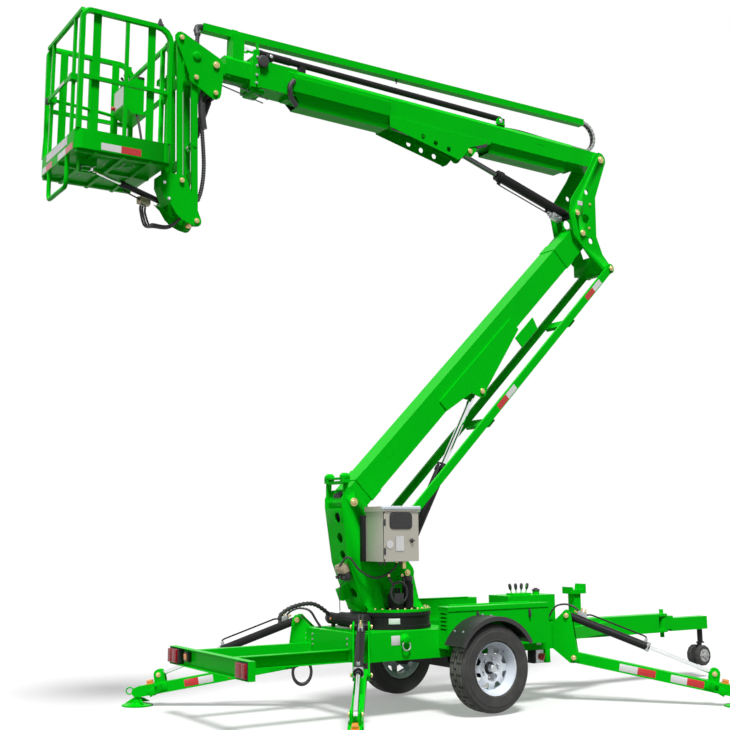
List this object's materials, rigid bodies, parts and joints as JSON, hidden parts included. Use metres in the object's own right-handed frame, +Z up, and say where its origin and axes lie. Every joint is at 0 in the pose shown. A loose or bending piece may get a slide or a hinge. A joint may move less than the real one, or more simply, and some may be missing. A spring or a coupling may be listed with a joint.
{
  "type": "trailer-mounted articulated boom lift",
  "caption": "Towable work platform on a two-wheel trailer: folded-out hydraulic outriggers, slewing turret, parallel-link lower boom, telescopic upper boom, hanging jib and basket.",
  "frame": {"origin": "on the floor under the middle of the bounding box", "axes": "+X towards the drawbar, +Y to the machine's left side, +Z up"},
  "size_m": [6.5724, 3.3062, 5.485],
  "materials": {
    "green_paint": "gloss green paint",
    "black_paint": "satin black paint",
    "white_paint": "satin white paint",
    "tyre_rubber": "matt rubber",
    "roller_rubber": "matt solid rubber",
    "black_plastic": "matt black plastic",
    "chrome": "polished chrome",
    "stainless": "brushed stainless steel",
    "galvanised": "dull zinc-coated steel"
  },
  "bodies": {
    "chassis": {"axle_beam": "galvanised", "chassis_frame": "green_paint", "fender_left": "black_plastic", "fender_right": "black_plastic", "housing_left": "green_paint", "housing_right": "green_paint", "hydraulic_tank": "green_paint", "rear_light_bar": "green_paint", "slew_ring": "black_paint"},
    "basket": {"basket": "green_paint", "platform_control_box": "black_plastic"},
    "basket_bracket": {"basket_bracket": "green_paint"},
    "boom_head": {"boom_head": "green_paint"},
    "inner_boom": {"cable_trough": "galvanised", "inner_boom": "green_paint", "telescope_rod": "chrome"},
    "turret": {"control_box": "stainless", "power_unit": "black_paint", "turret": "green_paint"},
    "control_box_door": {"control_box_door": "stainless"},
    "drawbar_nose": {"drawbar_nose": "green_paint"},
    "elbow": {"elbow": "green_paint"},
    "energy_chain": {"energy_chain": "black_plastic"},
    "gate_bar": {"gate_bar": "green_paint"},
    "lid_left": {"housing_lid_left": "green_paint"},
    "lid_right": {"housing_lid_right": "green_paint"},
    "jib_arm": {"jib_arm": "green_paint"},
    "jib_cylinder_barrel": {"jib_cylinder_barrel": "black_paint"},
    "jib_cylinder_rod": {"jib_cylinder_rod": "chrome"},
    "jib_link": {"jib_link": "green_paint"},
    "jockey_fork": {"jockey_fork": "black_paint"},
    "jockey_wheels": {"jockey_wheels": "roller_rubber"},
    "lower_boom": {"lower_boom": "green_paint"},
    "lower_cylinder_barrel": {"lower_cylinder_barrel": "black_paint"},
    "lower_cylinder_rod": {"lower_cylinder_rod": "chrome"},
    "outrigger_cylinder_front_left_barrel": {"outrigger_cylinder_front_left_barrel": "black_paint"},
    "outrigger_cylinder_front_left_rod": {"outrigger_cylinder_front_left_rod": "chrome"},
    "outrigger_cylinder_front_right_barrel": {"outrigger_cylinder_front_right_barrel": "black_paint"},
    "outrigger_cylinder_front_right_rod": {"outrigger_cylinder_front_right_rod": "chrome"},
    "outrigger_cylinder_rear_left_barrel": {"outrigger_cylinder_rear_left_barrel": "black_paint"},
    "outrigger_cylinder_rear_left_rod": {"outrigger_cylinder_rear_left_rod": "chrome"},
    "outrigger_cylinder_rear_right_barrel": {"outrigger_cylinder_rear_right_barrel": "black_paint"},
    "outrigger_cylinder_rear_right_rod": {"outrigger_cylinder_rear_right_rod": "chrome"},
    "outrigger_front_left": {"outrigger_leg_front_left": "green_paint"},
    "outrigger_front_right": {"outrigger_leg_front_right": "green_paint"},
    "outrigger_rear_left": {"outrigger_leg_rear_left": "green_paint"},
    "outrigger_rear_right": {"outrigger_leg_rear_right": "green_paint"},
    "parallel_links": {"parallel_links": "green_paint"},
    "wheel_left": {"rim_left": "white_paint", "tyre_left": "tyre_rubber"},
    "wheel_right": {"rim_right": "white_paint", "tyre_right": "tyre_rubber"},
    "swing_cylinder_barrel": {"swing_cylinder_barrel": "black_paint"},
    "swing_cylinder_rod": {"swing_cylinder_rod": "chrome"},
    "upper_boom": {"telescope_barrel": "black_paint", "upper_boom_outer": "green_paint"},
    "upper_cylinder_barrel": {"upper_cylinder_barrel": "black_paint"},
    "upper_cylinder_rod": {"upper_cylinder_rod": "chrome"}
  },
  "joints": [
    {"name": "wheel_left_spin", "type": "hinge", "parent": "chassis", "child": "wheel_left", "pos_m": [0.06158, 0.74697, 0.352], "axis": [0, 1, 0], "continuous": true},
    {"name": "lid_left_hinge", "type": "hinge", "parent": "chassis", "child": "lid_left", "pos_m": [0.06158, 0.51127, 0.825], "axis": [1, 0, 0], "range_deg": [0, 100]},
    {"name": "wheel_right_spin", "type": "hinge", "parent": "chassis", "child": "wheel_right", "pos_m": [0.06158, -0.57303, 0.352], "axis": [0, 1, 0], "continuous": true},
    {"name": "lid_right_hinge", "type": "hinge", "parent": "chassis", "child": "lid_right", "pos_m": [0.06158, -0.33733, 0.825], "axis": [-1, 0, 0], "range_deg": [0, 100]},
    {"name": "nose_fold", "type": "hinge", "parent": "chassis", "child": "drawbar_nose", "pos_m": [2.70158, 0.08697, 0.535], "axis": [0, 0, 1], "range_deg": [0, 90]},
    {"name": "jockey_swivel", "type": "hinge", "parent": "drawbar_nose", "child": "jockey_fork", "pos_m": [3.22158, 0.08697, 0.3], "axis": [0, 0, 1], "continuous": true},
    {"name": "jockey_spin", "type": "hinge", "parent": "jockey_fork", "child": "jockey_wheels", "pos_m": [3.19158, 0.08697, 0.206], "axis": [0, 1, 0], "continuous": true},
    {"name": "outrigger_front_right_fold", "type": "hinge", "parent": "chassis", "child": "outrigger_front_right", "pos_m": [1.0966, -0.42348, 0.36], "axis": [-0.7314, -0.682, 0], "range_deg": [0, 85]},
    {"name": "outrigger_cylinder_front_right_tilt", "type": "hinge", "parent": "chassis", "child": "outrigger_cylinder_front_right_barrel", "pos_m": [1.0625, -0.38692, 0.705], "axis": [-0.7314, -0.682, 0], "range_deg": [0, 92.7]},
    {"name": "outrigger_cylinder_front_right_stroke", "type": "slide", "parent": "outrigger_cylinder_front_right_barrel", "child": "outrigger_cylinder_front_right_rod", "axis": [0.6367, -0.6828, -0.3582], "range_m": [-0.4513, 0]},
    {"name": "outrigger_front_left_fold", "type": "hinge", "parent": "chassis", "child": "outrigger_front_left", "pos_m": [1.09936, 0.59475, 0.36], "axis": [0.7071, -0.7071, 0], "range_deg": [0, 85]},
    {"name": "outrigger_cylinder_front_left_tilt", "type": "hinge", "parent": "chassis", "child": "outrigger_cylinder_front_left_barrel", "pos_m": [1.06401, 0.55939, 0.705], "axis": [0.7071, -0.7071, 0], "range_deg": [0, 92.7]},
    {"name": "outrigger_cylinder_front_left_stroke", "type": "slide", "parent": "outrigger_cylinder_front_left_barrel", "child": "outrigger_cylinder_front_left_rod", "axis": [0.6602, 0.6602, -0.3582], "range_m": [-0.4513, 0]},
    {"name": "outrigger_rear_right_fold", "type": "hinge", "parent": "chassis", "child": "outrigger_rear_right", "pos_m": [-1.03993, -0.43423, 0.36], "axis": [-0.829, 0.5592, 0], "range_deg": [0, 85]},
    {"name": "outrigger_cylinder_rear_right_tilt", "type": "hinge", "parent": "chassis", "child": "outrigger_cylinder_rear_right_barrel", "pos_m": [-1.01197, -0.39278, 0.705], "axis": [-0.829, 0.5592, 0], "range_deg": [0, 92.7]},
    {"name": "outrigger_cylinder_rear_right_stroke", "type": "slide", "parent": "outrigger_cylinder_rear_right_barrel", "child": "outrigger_cylinder_rear_right_rod", "axis": [-0.5221, -0.774, -0.3582], "range_m": [-0.4513, 0]},
    {"name": "outrigger_rear_left_fold", "type": "hinge", "parent": "chassis", "child": "outrigger_rear_left", "pos_m": [-1.06144, 0.58913, 0.36], "axis": [0.6561, 0.7547, 0], "range_deg": [0, 85]},
    {"name": "outrigger_cylinder_rear_left_tilt", "type": "hinge", "parent": "chassis", "child": "outrigger_cylinder_rear_left_barrel", "pos_m": [-1.0237, 0.55633, 0.705], "axis": [0.6561, 0.7547, 0], "range_deg": [0, 92.7]},
    {"name": "outrigger_cylinder_rear_left_stroke", "type": "slide", "parent": "outrigger_cylinder_rear_left_barrel", "child": "outrigger_cylinder_rear_left_rod", "axis": [-0.7046, 0.6125, -0.3582], "range_m": [-0.4513, 0]},
    {"name": "turret_slew", "type": "hinge", "parent": "chassis", "child": "turret", "pos_m": [-0.42842, 0.08697, 0.7], "axis": [0, 0, 1], "range_deg": [-180, 180]},
    {"name": "control_box_door_hinge", "type": "hinge", "parent": "turret", "child": "control_box_door", "pos_m": [-0.78042, -0.37304, 1.375], "axis": [0, 0, -1], "range_deg": [0, 110]},
    {"name": "lower_boom_lift", "type": "hinge", "parent": "turret", "child": "lower_boom", "pos_m": [-0.86942, 0.08697, 1.645], "axis": [0, -1, 0], "range_deg": [-52.8, 16]},
    {"name": "lower_cylinder_tilt", "type": "hinge", "parent": "turret", "child": "lower_cylinder_barrel", "pos_m": [-0.35842, 0.08697, 1.08], "axis": [0, -1, 0], "range_deg": [-52.3, 15.9]},
    {"name": "lower_cylinder_stroke", "type": "slide", "parent": "lower_cylinder_barrel", "child": "lower_cylinder_rod", "axis": [0.4801, 0, 0.8772], "range_m": [-0.6595, 0.2002]},
    {"name": "parallel_links_tilt", "type": "hinge", "parent": "turret", "child": "parallel_links", "pos_m": [-0.55042, 0.08697, 1.324], "axis": [0, -1, 0], "range_deg": [-52.8, 16]},
    {"name": "elbow_level", "type": "hinge", "parent": "lower_boom", "child": "elbow", "pos_m": [1.74038, 0.08697, 4.23665], "axis": [0, -1, 0], "range_deg": [-16, 52.8]},
    {"name": "upper_boom_lift", "type": "hinge", "parent": "elbow", "child": "upper_boom", "pos_m": [2.01938, 0.08697, 5.02264], "axis": [0, -1, 0], "range_deg": [-40, 12]},
    {"name": "upper_cylinder_tilt", "type": "hinge", "parent": "elbow", "child": "upper_cylinder_barrel", "pos_m": [1.68238, 0.08697, 4.42964], "axis": [0, -1, 0], "range_deg": [-39.5, 11.9]},
    {"name": "upper_cylinder_stroke", "type": "slide", "parent": "upper_cylinder_barrel", "child": "upper_cylinder_rod", "axis": [-0.9537, 0, 0.3007], "range_m": [-0.136, 0.453]},
    {"name": "boom_extend", "type": "slide", "parent": "upper_boom", "child": "inner_boom", "axis": [-0.9997, 0, 0.0262], "range_m": [0, 1.6]},
    {"name": "energy_chain_travel", "type": "slide", "parent": "upper_boom", "child": "energy_chain", "axis": [-0.9997, 0, 0.0262], "range_m": [0, 0.8001]},
    {"name": "boom_head_level", "type": "hinge", "parent": "inner_boom", "child": "boom_head", "pos_m": [-2.12824, 0.08697, 5.09124], "axis": [0, -1, 0], "range_deg": [-12, 40]},
    {"name": "jib_lift", "type": "hinge", "parent": "boom_head", "child": "jib_arm", "pos_m": [-2.29824, 0.08697, 4.95124], "axis": [0, 1, 0], "range_deg": [0, 100]},
    {"name": "jib_link_tilt", "type": "hinge", "parent": "boom_head", "child": "jib_link", "pos_m": [-2.42824, 0.08697, 5.25624], "axis": [0, 1, 0], "range_deg": [0, 100]},
    {"name": "jib_cylinder_tilt", "type": "hinge", "parent": "boom_head", "child": "jib_cylinder_barrel", "pos_m": [-2.12824, 0.08697, 4.85624], "axis": [0, 1, 0], "range_deg": [0, 85]},
    {"name": "jib_cylinder_stroke", "type": "slide", "parent": "jib_cylinder_barrel", "child": "jib_cylinder_rod", "axis": [-0.3242, 0, -0.946], "range_m": [0, 0.2547]},
    {"name": "basket_bracket_level", "type": "hinge", "parent": "jib_arm", "child": "basket_bracket", "pos_m": [-2.26824, 0.08697, 3.78124], "axis": [0, 1, 0], "range_deg": [-100, 0]},
    {"name": "basket_swing", "type": "hinge", "parent": "basket_bracket", "child": "basket", "pos_m": [-2.48824, 0.08697, 4.16124], "axis": [0, 0, 1], "range_deg": [-40, 40]},
    {"name": "swing_cylinder_tilt", "type": "hinge", "parent": "basket_bracket", "child": "swing_cylinder_barrel", "pos_m": [-2.32824, 0.56697, 4.07624], "axis": [0, 0, 1], "range_deg": [-22.5, 22.5]},
    {"name": "swing_cylinder_stroke", "type": "slide", "parent": "swing_cylinder_barrel", "child": "swing_cylinder_rod", "axis": [-0.8293, -0.5587, 0], "range_m": [-0.2115, 0.2115]},
    {"name": "gate_bar_lift", "type": "slide", "parent": "basket", "child": "gate_bar", "axis": [0, 0, 1], "range_m": [0, 0.35]}
  ],
  "couplings": [
    {"joint": "outrigger_cylinder_front_right_tilt", "follows": "outrigger_front_right_fold", "ratio": 1.0899},
    {"joint": "outrigger_cylinder_front_right_stroke", "follows": "outrigger_front_right_fold", "m_per_rad": -0.3042},
    {"joint": "outrigger_cylinder_front_left_tilt", "follows": "outrigger_front_left_fold", "ratio": 1.0899},
    {"joint": "outrigger_cylinder_front_left_stroke", "follows": "outrigger_front_left_fold", "m_per_rad": -0.3042},
    {"joint": "outrigger_cylinder_rear_right_tilt", "follows": "outrigger_rear_right_fold", "ratio": 1.0899},
    {"joint": "outrigger_cylinder_rear_right_stroke", "follows": "outrigger_rear_right_fold", "m_per_rad": -0.3042},
    {"joint": "outrigger_cylinder_rear_left_tilt", "follows": "outrigger_rear_left_fold", "ratio": 1.0899},
    {"joint": "outrigger_cylinder_rear_left_stroke", "follows": "outrigger_rear_left_fold", "m_per_rad": -0.3042},
    {"joint": "lower_cylinder_tilt", "follows": "lower_boom_lift", "ratio": 0.988},
    {"joint": "lower_cylinder_stroke", "follows": "lower_boom_lift", "m_per_rad": 0.715},
    {"joint": "parallel_links_tilt", "follows": "lower_boom_lift", "ratio": 1},
    {"joint": "elbow_level", "follows": "lower_boom_lift", "ratio": -1},
    {"joint": "upper_cylinder_tilt", "follows": "upper_boom_lift", "ratio": 0.9862},
    {"joint": "upper_cylinder_stroke", "follows": "upper_boom_lift", "m_per_rad": -0.6487},
    {"joint": "energy_chain_travel", "follows": "boom_extend", "ratio": 0.5},
    {"joint": "boom_head_level", "follows": "upper_boom_lift", "ratio": -1},
    {"joint": "jib_link_tilt", "follows": "jib_lift", "ratio": 1},
    {"joint": "jib_cylinder_tilt", "follows": "jib_lift", "ratio": 0.8498},
    {"joint": "jib_cylinder_stroke", "follows": "jib_lift", "m_per_rad": 0.1459},
    {"joint": "basket_bracket_level", "follows": "jib_lift", "ratio": -1},
    {"joint": "swing_cylinder_tilt", "follows": "basket_swing", "ratio": 0.5598},
    {"joint": "swing_cylinder_stroke", "follows": "basket_swing", "m_per_rad": 0.3027}
  ]
}
